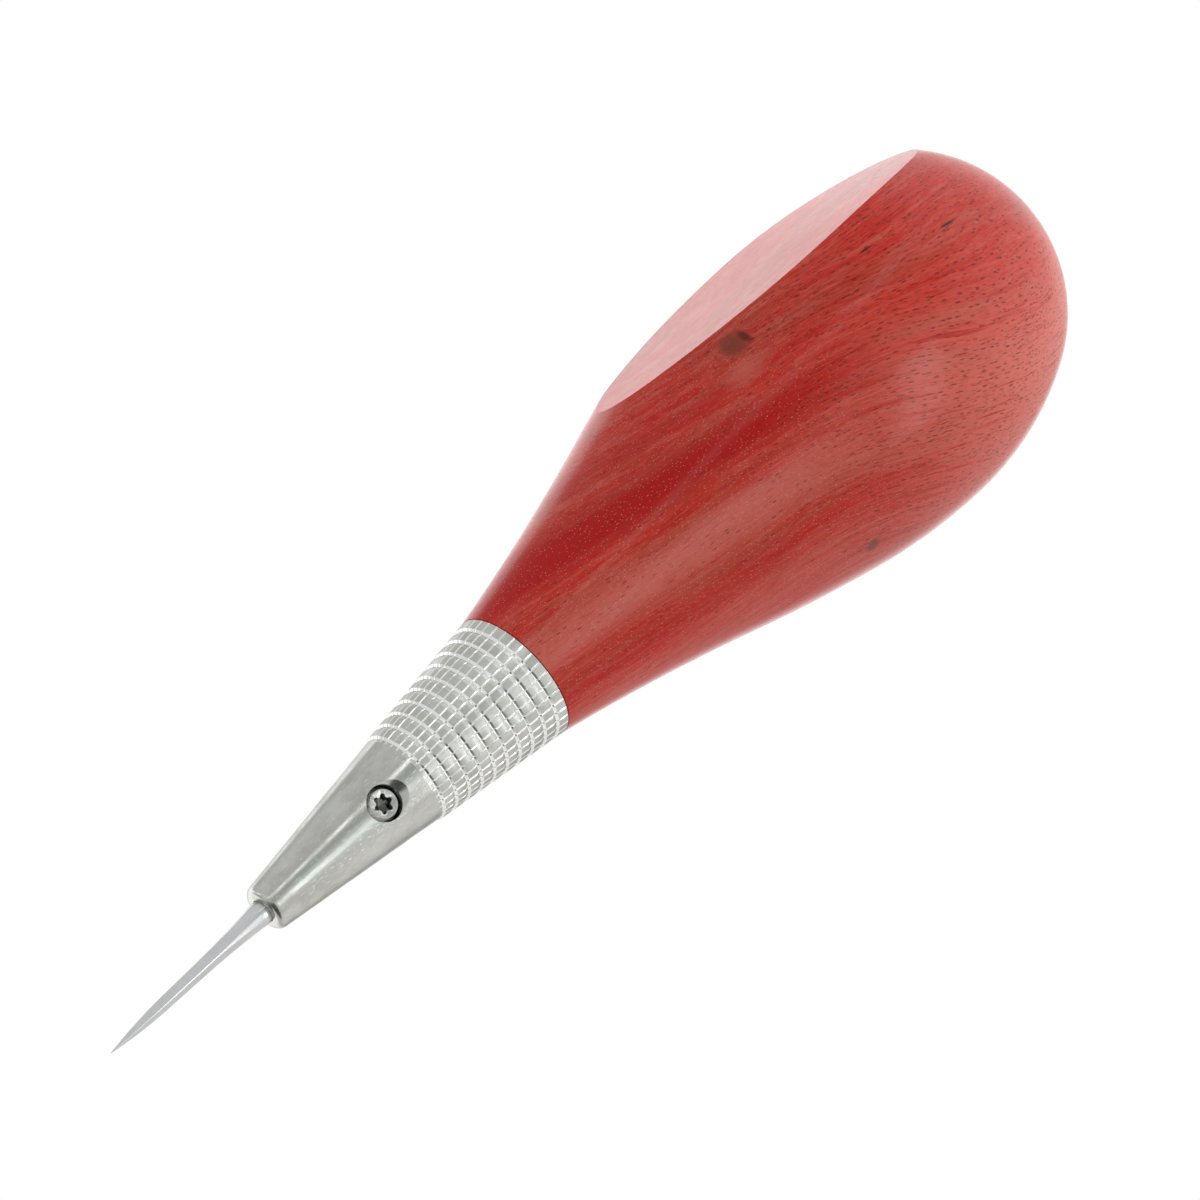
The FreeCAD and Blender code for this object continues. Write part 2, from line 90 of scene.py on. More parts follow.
def bakeModifiers(piece, sharp=30):
    bpy.context.view_layer.update()
    graph = bpy.context.evaluated_depsgraph_get()
    old = piece.data
    piece.data = bpy.data.meshes.new_from_object(piece.evaluated_get(graph))
    piece.modifiers.clear()
    piece.data.name = piece.name
    bpy.data.meshes.remove(old)
    piece.data.shade_smooth()
    piece.data.set_sharp_from_angle(angle=math.radians(sharp))


def cutWith(piece, cutter, sharp=30):
    cut = piece.modifiers.new("cut", "BOOLEAN")
    cut.operation = "DIFFERENCE"
    cut.solver = "EXACT"
    cut.object = cutter
    bakeModifiers(piece, sharp)
    bpy.data.objects.remove(cutter)


def arc(centre, radius, start, end, count):
    # points on an arc between two angles, in degrees
    angles = [math.radians(start + (end - start) * i / count) for i in range(count + 1)]
    return [(centre[0] + radius * math.cos(a), centre[1] + radius * math.sin(a)) for a in angles]


def soften(points, cut):
    # trims each inner corner of an outline, so that its edges catch the light
    trimmed = [points[0]]
    for before, here, after in zip(points, points[1:], points[2:]):
        here = Vector(here)
        for other in (Vector(before), Vector(after)):
            reach = min(cut, (other - here).length * 0.4)
            trimmed.append(tuple(here + (other - here).normalized() * reach))
    trimmed.append(points[-1])
    return trimmed


def place(bm, start, swing=0.0):
    # from the lathe, where x = 0 is the start of the piece, into the frame
    bmesh.ops.rotate(bm, verts=bm.verts, cent=(0, 0, 0), matrix=Matrix.Rotation(swing, 3, "X"))
    bmesh.ops.translate(bm, verts=bm.verts, vec=(start, 0, axisHeight))


cameraSet = {
    "aim": Vector((36.17, 3.28, 16.09)) * mm,
    "azimuth": 24.89,
    "elevation": -11.29,
    "roll": 142.16,
    "distance": 1319.5 * mm,
    "lens": 360.0,
    "sensor": 36.0,
    "clip": (0.05, 20.0),       # nearest and farthest, in metres
}


def wayTo(azimuth, elevation):
    a = math.radians(azimuth)
    e = math.radians(elevation)
    return Vector((math.sin(a) * math.cos(e), -math.cos(a) * math.cos(e), math.sin(e)))


def makeCamera(p):
    back = wayTo(p["azimuth"], p["elevation"])
    camera = bpy.data.objects.new("camera", bpy.data.cameras.new("camera"))
    camera.data.lens = p["lens"]
    camera.data.sensor_width = p["sensor"]
    camera.data.clip_start, camera.data.clip_end = p["clip"]
    level = (-back).to_track_quat("-Z", "Y")
    turned = Matrix.Rotation(math.radians(p["roll"]), 4, back) @ level.to_matrix().to_4x4()
    camera.matrix_world = Matrix.Translation(p["aim"] + back * p["distance"]) @ turned
    bpy.context.scene.collection.objects.link(camera)
    bpy.context.scene.camera = camera


# the camera looks up from below the floor, so the floor shows only from above and
# lets all other light through
studioSet = {
    # glow of the room in front of the tool, by height: (sine of elevation, strength, tint)
    "front": (
        (-1.00, 0.72, (1.0, 1.0, 1.0)),
        (-0.80, 0.66, (1.0, 1.0, 0.99)),
        (-0.62, 0.46, (1.0, 1.0, 0.98)),
        (-0.56, 2.90, (1.0, 1.0, 0.99)),     # low strip light
        (-0.50, 0.46, (1.0, 1.0, 0.97)),
        (-0.28, 0.46, (0.98, 1.0, 0.97)),
        (-0.10, 0.70, (0.95, 1.0, 0.97)),    # tall soft window
        (0.40, 0.78, (0.95, 1.0, 0.97)),
        (0.56, 0.67, (1.0, 0.99, 0.97)),
        (1.00, 0.90, (1.0, 0.98, 0.96)),
    ),
    "backGlow": 1.85,           # the bright sheet behind
    "tipCard": (0.75, 0.08),    # beyond the tip: a white card below, a dark one above
    "buttGlow": 1.6,
    # where each of them starts and is full, as a share of the way along one axis
    "backSpan": (0.62, 0.88),
    "cardSpan": (0.55, 0.72),
    "cardAcross": (0.35, 0.10),
    "cardRise": (-0.22, -0.02),
    "buttSpan": (-0.55, -0.85),
    "floorSize": 1.6,
    "floorDrop": 0.2 * mm,
    "floorColor": (0.86, 0.86, 0.85),
    "floorRoughness": 0.9,
}
lampAim = Vector((2.2, -19.7, 17.2)) * mm        # a place on the handle's belly
lampSet = {
    # name: (azimuth, elevation, distance, width, height, power)
    "window": (-20.0, 28.0, 0.60, 0.11, 0.40, 0.42),
    "softbox": (8.0, 10.0, 0.70, 0.26, 0.20, 0.16),
}


def makeStudio(p):
    world = bpy.data.worlds.new("studio")
    bpy.context.scene.world = world
    world.use_nodes = True
    nodes = world.node_tree.nodes
    link = world.node_tree.links.new
    nodes.clear()
    out = nodes.new("ShaderNodeOutputWorld")
    way = nodes.new("ShaderNodeTexCoord")
    parts = nodes.new("ShaderNodeSeparateXYZ")
    link(way.outputs["Generated"], parts.inputs[0])
    height = nodes.new("ShaderNodeMapRange")
    height.inputs["From Min"].default_value = -1
    link(parts.outputs["Z"], height.inputs["Value"])
    room = nodes.new("ShaderNodeValToRGB")
    room.color_ramp.interpolation = "EASE"
    stops = room.color_ramp.elements
    while len(stops) < len(p["front"]):
        stops.new(0.5)
    for stop, (sine, strength, tint) in zip(stops, p["front"]):
        stop.position = (sine + 1) / 2
        stop.color = [strength * t for t in tint] + [1]
    link(height.outputs["Result"], room.inputs["Fac"])

    def share(part, start, end):
        ramp = nodes.new("ShaderNodeMapRange")
        ramp.interpolation_type = "SMOOTHSTEP"
        ramp.inputs["From Min"].default_value = start
        ramp.inputs["From Max"].default_value = end
        link(parts.outputs[part], ramp.inputs["Value"])
        return ramp

    def cover(below, amount, strength):
        mix = nodes.new("ShaderNodeMix")
        mix.data_type = "RGBA"
        mix.inputs[7].default_value = [strength] * 3 + [1]
        link(amount, mix.inputs[0])
        link(below, mix.inputs[6])
        return mix.outputs[2]

    card = share("Z", *p["cardRise"])
    card.inputs["To Min"].default_value, card.inputs["To Max"].default_value = p["tipCard"]
    carded = nodes.new("ShaderNodeMix")
    carded.data_type = "RGBA"
    reach = nodes.new("ShaderNodeMath")
    reach.operation = "MULTIPLY"
    link(share("X", *p["cardSpan"]).outputs[0], reach.inputs[0])
    link(share("Y", *p["cardAcross"]).outputs[0], reach.inputs[1])
    link(reach.outputs[0], carded.inputs[0])
    link(room.outputs["Color"], carded.inputs[6])
    link(card.outputs[0], carded.inputs[7])
    around = cover(carded.outputs[2], share("X", *p["buttSpan"]).outputs[0], p["buttGlow"])
    around = cover(around, share("Y", *p["backSpan"]).outputs[0], p["backGlow"])
    seen = nodes.new("ShaderNodeLightPath")
    glow = nodes.new("ShaderNodeMix")
    glow.data_type = "RGBA"
    glow.inputs[7].default_value = (1, 1, 1, 1)
    link(seen.outputs["Is Camera Ray"], glow.inputs[0])
    link(around, glow.inputs[6])
    back = nodes.new("ShaderNodeBackground")
    link(glow.outputs[2], back.inputs["Color"])
    link(back.outputs[0], out.inputs["Surface"])


def makeLamps(lamps, aim):
    for name, (azimuth, elevation, distance, width, height, power) in lamps.items():
        lamp = bpy.data.objects.new(name, bpy.data.lights.new(name, "AREA"))
        lamp.data.shape = "RECTANGLE"
        lamp.data.size = width
        lamp.data.size_y = height
        lamp.data.energy = power
        way = wayTo(azimuth, elevation)
        lamp.location = aim + way * distance
        lamp.rotation_mode = "QUATERNION"
        lamp.rotation_quaternion = way.to_track_quat("Z", "Y")
        bpy.context.scene.collection.objects.link(lamp)


def makeFloor(p):
    bm = bmesh.new()
    bmesh.ops.create_grid(bm, x_segments=1, y_segments=1, size=p["floorSize"] / 2)
    bmesh.ops.translate(bm, verts=bm.verts, vec=(0, 0, -p["floorDrop"]))
    floor = finishMesh(bm, "floor")
    stuff = bpy.data.materials.new("floorPaper")
    stuff.use_nodes = True
    nodes = stuff.node_tree.nodes
    link = stuff.node_tree.links.new
    paper = nodes["Principled BSDF"]
    paper.inputs["Base Color"].default_value = (*p["floorColor"], 1)
    paper.inputs["Roughness"].default_value = p["floorRoughness"]
    clear = nodes.new("ShaderNodeBsdfTransparent")
    choose = nodes.new("ShaderNodeMixShader")
    side = nodes.new("ShaderNodeNewGeometry")
    ray = nodes.new("ShaderNodeLightPath")
    shown = nodes.new("ShaderNodeMath")
    shown.operation = "SUBTRACT"
    shown.use_clamp = True
    link(ray.outputs["Is Camera Ray"], shown.inputs[0])
    link(side.outputs["Backfacing"], shown.inputs[1])
    link(shown.outputs[0], choose.inputs["Fac"])
    link(clear.outputs[0], choose.inputs[1])
    link(paper.outputs[0], choose.inputs[2])
    link(choose.outputs[0], nodes["Material Output"].inputs["Surface"])
    floor.data.materials.append(stuff)


makeCamera(cameraSet)
makeStudio(studioSet)
makeLamps(lampSet, lampAim)
makeFloor(studioSet)
bpy.context.scene.view_settings.view_transform = "Standard"
print("stage ready")


class Graph:
    # a short way to write the nodes of a material or a group: i0 is a socket's number,
    # and From_Min a socket's name
    def __init__(self, tree):
        self.tree = tree

    def add(self, kind, **settings):
        node = self.tree.nodes.new("ShaderNode" + kind)
        for key, value in settings.items():
            setattr(node, key, value)
        return node

    def feed(self, node, **sockets):
        for name, value in sockets.items():
            byNumber = name[0] == "i" and name[1:].isdigit()
            socket = node.inputs[int(name[1:]) if byNumber else name.replace("_", " ")]
            if isinstance(value, bpy.types.NodeSocket):
                self.tree.links.new(value, socket)
            else:
                socket.default_value = value
        return node

    def math(self, operation, a, b=0.0):
        node = self.add("Math", operation=operation)
        self.feed(node, i0=a, i1=b)
        return node.outputs[0]

    def noise(self, where, detail=2.0, rough=0.5):
        node = self.add("TexNoise")
        self.feed(node, Vector=where, Scale=1.0, Detail=detail, Roughness=rough)
        return node.outputs["Fac"]

    def spots(self, where):
        # distance from the nearest of some scattered spots, and that spot's random colour
        node = self.add("TexVoronoi")
        self.feed(node, Vector=where, Scale=1.0, Randomness=1.0)
        luck = self.add("SeparateColor")
        self.feed(luck, Color=node.outputs["Color"])
        return node.outputs["Distance"], luck.outputs

    def span(self, value, low, high, toLow=0.0, toHigh=1.0):
        node = self.add("MapRange", interpolation_type="SMOOTHSTEP")
        self.feed(node, Value=value, From_Min=low, From_Max=high, To_Min=toLow, To_Max=toHigh)
        return node.outputs["Result"]

    def blend(self, share, a, b):
        node = self.add("Mix", data_type="RGBA")
        self.feed(node, i0=share, i6=a, i7=b)
        return node.outputs[2]

    def stretch(self, where, scale=(1, 1, 1), turn=(0, 0, 0), move=(0, 0, 0)):
        node = self.add("Mapping")
        self.feed(node, Vector=where, Scale=scale, Rotation=turn, Location=move)
        return node.outputs["Vector"]


def newMaterial(name):
    stuff = bpy.data.materials.new(name)
    stuff.use_nodes = True
    return stuff, Graph(stuff.node_tree), stuff.node_tree.nodes["Principled BSDF"]


def placeIn(graph):
    # object coordinates in millimetres
    where = graph.add("TexCoord").outputs["Object"]
    return graph.stretch(where, scale=(1 / mm, 1 / mm, 1 / mm))


def dress(piece, stuff):
    piece.data.materials.clear()
    piece.data.materials.append(stuff)


handleSet = {
    "neckLean": 11.15,          # degrees
    "hollow": 284.0 * mm,       # arcs, from the neck to the butt
    "shoulder": 225.0 * mm,
    "crown": 70.0 * mm,
    "butt": 18.4 * mm,
    "bellyBack": 57.0 * mm,     # neck to the widest place
    "insertHole": 4.5 * mm,
    "insertDepth": 16.0 * mm,
    "seamHalf": 0.07 * mm,
    "seamDepth": 0.35 * mm,
    "flatBack": 98.0 * mm,      # tool nose to where the thumb flat rolls off
    "flatRise": 2.85 * mm,      # how far it has rolled off at the butt
    "steps": 256,
    "arcSteps": (26, 14, 20, 30, 40),
    "flatSteps": 24,
    "sharp": 8,                 # degrees, above which an edge is shaded sharp
}


def circlesMeet(a, reachA, b, reachB):
    # lower crossing of two circles
    across = b - a
    along = (across.length_squared + reachA ** 2 - reachB ** 2) / (2 * across.length)
    aside = math.sqrt(reachA ** 2 - along ** 2)
    way = across.normalized()
    ends = [a + way * along + Vector((-way.y, way.x)) * s for s in (aside, -aside)]
    return min(ends, key=lambda point: point.y)


def handleOutline(p, neckRadius, bellyRadius, length):
    # the handle's side, drawn from the neck at x = 0 towards the butt at -length
    lean = math.radians(p["neckLean"])
    neck = Vector((0, neckRadius))
    belly = Vector((-p["bellyBack"], bellyRadius))
    hollowAt = neck + p["hollow"] * Vector((math.sin(lean), math.cos(lean)))
    crownAt = belly - Vector((0, p["crown"]))
    shoulderAt = circlesMeet(hollowAt, p["hollow"] + p["shoulder"],
                             crownAt, p["shoulder"] - p["crown"])
    buttAt = Vector((-length + p["butt"], 0))
    run = belly.x - buttAt.x
    flank = (run ** 2 + belly.y ** 2 - p["butt"] ** 2) / (2 * (belly.y - p["butt"]))
    flankAt = belly - Vector((0, flank))

    def angle(centre, point):
        away = point - centre
        return math.degrees(math.atan2(away.y, away.x)) % 360

    firstJoin = hollowAt + (shoulderAt - hollowAt).normalized() * p["hollow"]
    secondJoin = crownAt + (crownAt - shoulderAt).normalized() * p["crown"]
    lastJoin = buttAt + (buttAt - flankAt).normalized() * p["butt"]
    pole = Vector((-length, 0))
    stretches = [
        (hollowAt, p["hollow"], neck, firstJoin),
        (shoulderAt, p["shoulder"], firstJoin, secondJoin),
        (crownAt, p["crown"], secondJoin, belly),
        (flankAt, flank, belly, lastJoin),
        (buttAt, p["butt"], lastJoin, pole),
    ]
    points = []
    for (centre, radius, start, end), count in zip(stretches, p["arcSteps"]):
        points += arc(centre, radius, angle(centre, start), angle(centre, end), count)[:-1]
    return points + [tuple(pole)]


def makeFlatCutter(p, low, high):
    # flat at the frame's floor, then an arc that rolls up towards the butt
    spare = 5 * mm
    rollX = noseX - p["flatBack"]
    run = rollX - low.x
    radius = (run ** 2 + p["flatRise"] ** 2) / (2 * p["flatRise"])
    reach = math.degrees(math.asin((run + spare) / radius))
    side = [(high.x + spare, 0)] + arc((rollX, radius), radius, -90, -90 - reach, p["flatSteps"])
    side += [(low.x - spare, -2 * spare), (high.x + spare, -2 * spare)]
    bm = bmesh.new()
    verts = [bm.verts.new((x, -high.z, z)) for x, z in side]
    edges = [bm.edges.new(pair) for pair in zip(verts, verts[1:] + verts[:1])]
    face = bmesh.ops.contextual_create(bm, geom=edges)["faces"]
    grown = bmesh.ops.extrude_face_region(bm, geom=face, use_keep_orig=True)["geom"]
    moved = [v for v in grown if isinstance(v, bmesh.types.BMVert)]
    bmesh.ops.translate(bm, verts=moved, vec=(0, 2 * high.z, 0))
    bmesh.ops.recalc_face_normals(bm, faces=bm.faces)
    return finishMesh(bm, "flatCutter")


def makeHandle(p):
    low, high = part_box("handle")
    neckRadius = (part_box("chuck")[1].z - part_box("chuck")[0].z) / 2
    side = handleOutline(p, neckRadius, (high.y - low.y) / 2, high.x - low.x)
    side = [(-p["seamHalf"], side[0][1])] + side[1:]
    hole = [(-p["insertDepth"], 0), (-p["insertDepth"], p["insertHole"]), (0, p["insertHole"])]
    bm = bmesh.new()
    turn(bm, hole + [(0, neckRadius - p["seamDepth"])] + side, p["steps"])
    place(bm, neckX)
    piece = finishMesh(bm, "turnedHandle", p["sharp"])
    cutWith(piece, makeFlatCutter(p, low, high), p["sharp"])
    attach(piece, "haft")
    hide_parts("handle")
    return piece


woodSet = {
    "deep": (0.41, 0.001, 0.001),
    "warm": (0.55, 0.017, 0.010),
    "brown": (0.42, 0.050, 0.028),
    "pale": (0.58, 0.130, 0.100),
    "rosy": (0.72, 0.190, 0.150),
    "pore": (0.11, 0.006, 0.005),
    "speck": (0.66, 0.27, 0.22),
    "knot": (0.17, 0.036, 0.020),
    "fleck": (0.02, 0.003, 0.003),
    # how many changes there are in a millimetre along, across and up
    "wanderScale": (0.035, 0.05, 0.06),
    "broadScale": (0.02, 0.10, 0.34),
    "fineScale": (0.07, 0.25, 1.9),
    "hairScale": (0.5, 1.2, 8.0),
    "mottleScale": (0.9, 0.9, 0.9),
    "poreScale": (1.0, 2.0, 5.0),
    "speckScale": (3.8, 4.2, 5.2),
    "sandingScale": (9.0, 0.25, 0.25),
    "wander": 2.0,              # mm that the layers stray up and down
    "poreRows": 0.48,           # mm from row to row
    "grainRise": 0.10,          # the layers sink towards the tip
    "grainBend": 9.0,           # mm they climb over the belly, along and up these spans
    "bendAlong": (20.0, -20.0),
    "bendUp": (0.0, 26.0),
    "bandsAlong": (-4.0, 22.0),         # the bands start and are full here
    "buttPaleAlong": (16.0, -14.0),     # the wood pales towards the butt, above the flat
    "buttPaleUp": (4.0, 16.0),
    "sandedOff": (0.05, 0.5),           # up from the flat, where there are fewer pores
    "roughness": 0.34,
    "specular": 0.04,
    "coat": 0.36,
    "coatRoughness": 0.16,
    "bumpDepth": 0.03 * mm,
    # bands along the grain: (height, half width, strength), heights in mm at the nose's x
    "deepBands": ((11.3, 2.3, 0.90), (6.6, 1.0, 0.40), (24.0, 1.6, 0.35)),
    # the first, strongest pale band is partly the wood's own paler streak and partly a painted
    # highlight along the belly, where the window lamp's reflection runs
    "paleBandsAndHighlight": ((18.7, 2.6, 0.85), (28.0, 2.5, 0.35)),
    # knots and flecks: (middle, size), in mm
    "knots": (((11.9, -12.4, 1.9), (1.7, 2.5, 1.4)), ((12.5, -10.8, 29.4), (0.9, 1.5, 0.8))),
    "knotEdge": ((10.4, -12.9, 2.0), (0.55, 2.0, 1.3)),
    "knotTrail": ((13.4, -14.2, 4.6), (3.0, 3.0, 1.4)),
    "flecks": (
        ((-15.6, -17.0, 7.3), (1.2, 1.2, 0.09)),
        ((-6.0, -16.4, 3.3), (0.9, 1.2, 0.09)),
        ((-9.4, -16.6, 5.6), (0.7, 1.2, 0.07)),
        ((3.4, -15.6, 2.2), (0.5, 1.2, 0.08)),
    ),
}


def blob(g, where, middle, size):
    # distance from a middle, in shares of a size
    scale = [1 / s for s in size]
    moved = g.stretch(where, scale=scale, move=[-m * k for m, k in zip(middle, scale)])
    far = g.add("VectorMath", operation="LENGTH")
    g.feed(far, i0=moved)
    return far.outputs["Value"]


def bandShare(g, value, middle, half, strength):
    away = g.math("ABSOLUTE", g.math("SUBTRACT", value, middle))
    return g.span(away, half * 0.3, half * 1.3, strength, 0.0)


def grainRun(g, p, along, up):
    # straight sheets that climb over the belly near the butt
    bend = g.math("MULTIPLY", g.span(along, *p["bendAlong"]), g.span(up, *p["bendUp"]))
    straight = g.math("ADD", up, g.math("MULTIPLY", along, p["grainRise"]))
    return g.math("SUBTRACT", straight, g.math("MULTIPLY", bend, p["grainBend"]))


def grainAt(p, x, z):
    # the same sheets, worked out for one place
    def share(value, low, high):
        part = min(max((value - low) / (high - low), 0), 1)
        return part * part * (3 - 2 * part)

    bend = share(x, *p["bendAlong"]) * share(z, *p["bendUp"])
    return z + x * p["grainRise"] - bend * p["grainBend"]


def makeWood(p):
    stuff, g, skin = newMaterial("redWood")
    here = placeIn(g)
    axes = g.add("SeparateXYZ")
    g.feed(axes, Vector=here)
    along, across, up = axes.outputs[:3]

    sheet = grainRun(g, p, along, up)
    wander = g.noise(g.stretch(here, scale=p["wanderScale"]))
    stray = g.math("MULTIPLY", g.math("SUBTRACT", wander, 0.5), p["wander"])
    layer = g.math("ADD", sheet, stray)
    layered = g.add("CombineXYZ")
    g.feed(layered, X=along, Y=across, Z=layer)
    grain = layered.outputs[0]

    broad = g.noise(g.stretch(grain, scale=p["broadScale"]), 3.0, 0.6)
    fine = g.noise(g.stretch(grain, scale=p["fineScale"]), 3.0, 0.6)
    hair = g.noise(g.stretch(grain, scale=p["hairScale"]), 2.0, 0.7)
    mottle = g.noise(g.stretch(here, scale=p["mottleScale"]), 3.0, 0.6)
    fade = g.span(along, *p["bandsAlong"])
    color = g.blend(g.span(broad, 0.40, 0.66, 0.1, 0.85), (*p["warm"], 1), (*p["brown"], 1))
    buttPale = g.math("MULTIPLY", g.span(along, *p["buttPaleAlong"]),
                      g.span(layer, *p["buttPaleUp"]))
    color = g.blend(g.math("MULTIPLY", buttPale, 0.80), color, (*p["rosy"], 1))
    color = g.blend(g.span(fine, 0.48, 0.70, 0.0, 0.45), color, (*p["pale"], 1))
    color = g.blend(g.span(fine, 0.46, 0.30, 0.0, 0.65), color, (*p["deep"], 1))
    # pale bands along the grain; the strongest is partly a painted highlight of the window lamp
    for middle, half, strength in p["paleBandsAndHighlight"]:
        share = g.math("MULTIPLY", bandShare(g, layer, middle, half, strength), fade)
        color = g.blend(share, color, (*p["pale"], 1))
    color = g.blend(g.span(hair, 0.46, 0.72, 0.0, 0.36), color, (*p["pale"], 1))
    color = g.blend(g.span(hair, 0.48, 0.30, 0.0, 0.40), color, (*p["deep"], 1))
    color = g.blend(g.span(mottle, 0.35, 0.75, 0.0, 0.22), color, (*p["brown"], 1))
    for middle, half, strength in p["deepBands"]:
        share = g.math("MULTIPLY", bandShare(g, layer, middle, half, strength), fade)
        color = g.blend(share, color, (*p["deep"], 1))

    # rows of short dark pores, thickest towards the butt
    far, luck = g.spots(g.stretch(grain, scale=p["poreScale"]))
    rows = g.math("SINE", g.math("MULTIPLY", layer, fullTurn / p["poreRows"]))
    crowd = g.math("ADD", g.span(along, 24.0, 0.0, -0.10, 0.66), g.math("MULTIPLY", fine, 0.5))
    chosen = g.math("LESS_THAN", luck[0], crowd)
    pore = g.math("MULTIPLY", g.span(far, 0.22, 0.44, 1.0, 0.0), chosen)
    pore = g.math("MULTIPLY", pore, g.span(rows, -0.5, 0.4, 0.25, 1.0))
    pore = g.math("MULTIPLY", pore, g.span(up, *p["sandedOff"], 0.35, 1.0))
    color = g.blend(g.math("MULTIPLY", pore, 0.66), color, (*p["pore"], 1))

    # tiny light specks, where the pores are filled
    far, luck = g.spots(g.stretch(grain, scale=p["speckScale"]))
    speck = g.math("MULTIPLY", g.span(far, 0.16, 0.34, 1.0, 0.0), g.span(luck[1], 0.56, 0.66))
    speck = g.math("MULTIPLY", speck, g.span(along, -2.0, 16.0, 0.10, 0.58))
    speck = g.math("MULTIPLY", speck, g.span(up, *p["sandedOff"], 0.25, 1.0))
    color = g.blend(speck, color, (*p["speck"], 1))

    # knots, with a pale trail and a dark edge beside the larger one
    trail = g.span(blob(g, here, *p["knotTrail"]), 0.2, 1.3, 0.55, 0.0)
    color = g.blend(trail, color, (*p["pale"], 1))
    for middle, size in p["knots"]:
        share = g.span(blob(g, here, middle, size), 0.45, 1.30, 0.78, 0.0)
        color = g.blend(share, color, (*p["knot"], 1))
    edge = g.span(blob(g, here, *p["knotEdge"]), 0.3, 1.2, 0.85, 0.0)
    color = g.blend(edge, color, (*p["pore"], 1))

    # dark flecks that lie in the sheets
    sheets = g.add("CombineXYZ")
    g.feed(sheets, X=along, Y=across, Z=sheet)
    for (x, y, z), size in p["flecks"]:
        far = blob(g, sheets.outputs[0], (x, y, grainAt(p, x, z)), size)
        color = g.blend(g.span(far, 0.5, 1.3, 0.9, 0.0), color, (*p["fleck"], 1))

    # sanding lines run round the handle
    lines = g.noise(g.stretch(here, scale=p["sandingScale"]), 2.0, 0.7)
    roughness = g.span(hair, 0.3, 0.7, p["roughness"] - 0.05, p["roughness"] + 0.07)
    height = g.math("ADD", g.math("MULTIPLY", pore, -1.0), g.math("MULTIPLY", hair, 0.3))
    height = g.math("ADD", height, g.math("MULTIPLY", lines, 0.5))
    bump = g.add("Bump")
    g.feed(bump, Height=height, Distance=p["bumpDepth"], Strength=0.5)
    g.feed(skin, Base_Color=color, Roughness=roughness, Normal=bump.outputs[0])
    skin.inputs["Specular IOR Level"].default_value = p["specular"]
    skin.inputs["Coat Weight"].default_value = p["coat"]
    skin.inputs["Coat Roughness"].default_value = p["coatRoughness"]
    return stuff


turnedHandle = makeHandle(handleSet)
dress(turnedHandle, makeWood(woodSet))
print("handle ready")


metalSet = {
    "markScale": (1, 0.05, 0.05),       # changes in a millimetre, times a piece's own lines
    "scratchScale": (0.35, 9, 9),
    "scratchTurn": (0.3, 0.2, 0.5),     # radians
    "cloudScale": (0.25, 0.4, 0.4),
    "scratchColor": (0.85, 0.86, 0.84),
    "edgeTint": (0.45, 0.45, 0.45),
}


def makeTooling(p):
    # fine marks round a turned piece and stray scratches; puts out a height and a mask
    group = bpy.data.node_groups.new("toolMarks", "ShaderNodeTree")
    face = group.interface
    face.new_socket("Place", in_out="INPUT", socket_type="NodeSocketVector")
    face.new_socket("Lines", in_out="INPUT", socket_type="NodeSocketFloat")
    face.new_socket("Height", in_out="OUTPUT", socket_type="NodeSocketFloat")
    face.new_socket("Scratch", in_out="OUTPUT", socket_type="NodeSocketFloat")
    g = Graph(group)
    given = group.nodes.new("NodeGroupInput")
    out = group.nodes.new("NodeGroupOutput")
    lines = g.add("VectorMath", operation="SCALE")
    g.feed(lines, i0=g.stretch(given.outputs["Place"], scale=p["markScale"]))
    group.links.new(given.outputs["Lines"], lines.inputs["Scale"])
    turned = g.noise(lines.outputs[0], 3.0, 0.7)
    stray = g.stretch(given.outputs["Place"], scale=p["scratchScale"], turn=p["scratchTurn"])
    scratch = g.span(g.noise(stray, 1.0), 0.66, 0.72)
    height = g.math("SUBTRACT", turned, g.math("MULTIPLY", scratch, 0.6))
    group.links.new(height, out.inputs["Height"])
    group.links.new(scratch, out.inputs["Scratch"])
    return group


toolMarks = makeTooling(metalSet)


def makeMetal(name, color, shade, roughness, lines, depth, touch=None):
    # lines is how fine the marks are, and touch a last change to the colour and roughness
    p = metalSet
    stuff, g, skin = newMaterial(name)
    here = placeIn(g)
    marks = g.add("Group", node_tree=toolMarks)
    g.feed(marks, Place=here, Lines=lines)
    cloud = g.noise(g.stretch(here, scale=p["cloudScale"]), 4.0, 0.6)
    base = g.blend(g.span(cloud, 0.35, 0.7), (*color, 1), (*shade, 1))
    scratched = g.math("MULTIPLY", marks.outputs["Scratch"], 0.4)
    base = g.blend(scratched, base, (*p["scratchColor"], 1))
    rough = g.math("ADD", g.span(cloud, 0.3, 0.7, roughness - 0.05, roughness + 0.07),
                   g.math("MULTIPLY", marks.outputs["Scratch"], -0.08))
    if touch:
        base, rough = touch(g, here, base, rough)
    bump = g.add("Bump")
    g.feed(bump, Height=marks.outputs["Height"], Distance=depth, Strength=0.4)
    g.feed(skin, Base_Color=base, Roughness=rough, Normal=bump.outputs[0])
    skin.inputs["Metallic"].default_value = 1.0
    skin.inputs["Specular Tint"].default_value = (*p["edgeTint"], 1)
    return stuff


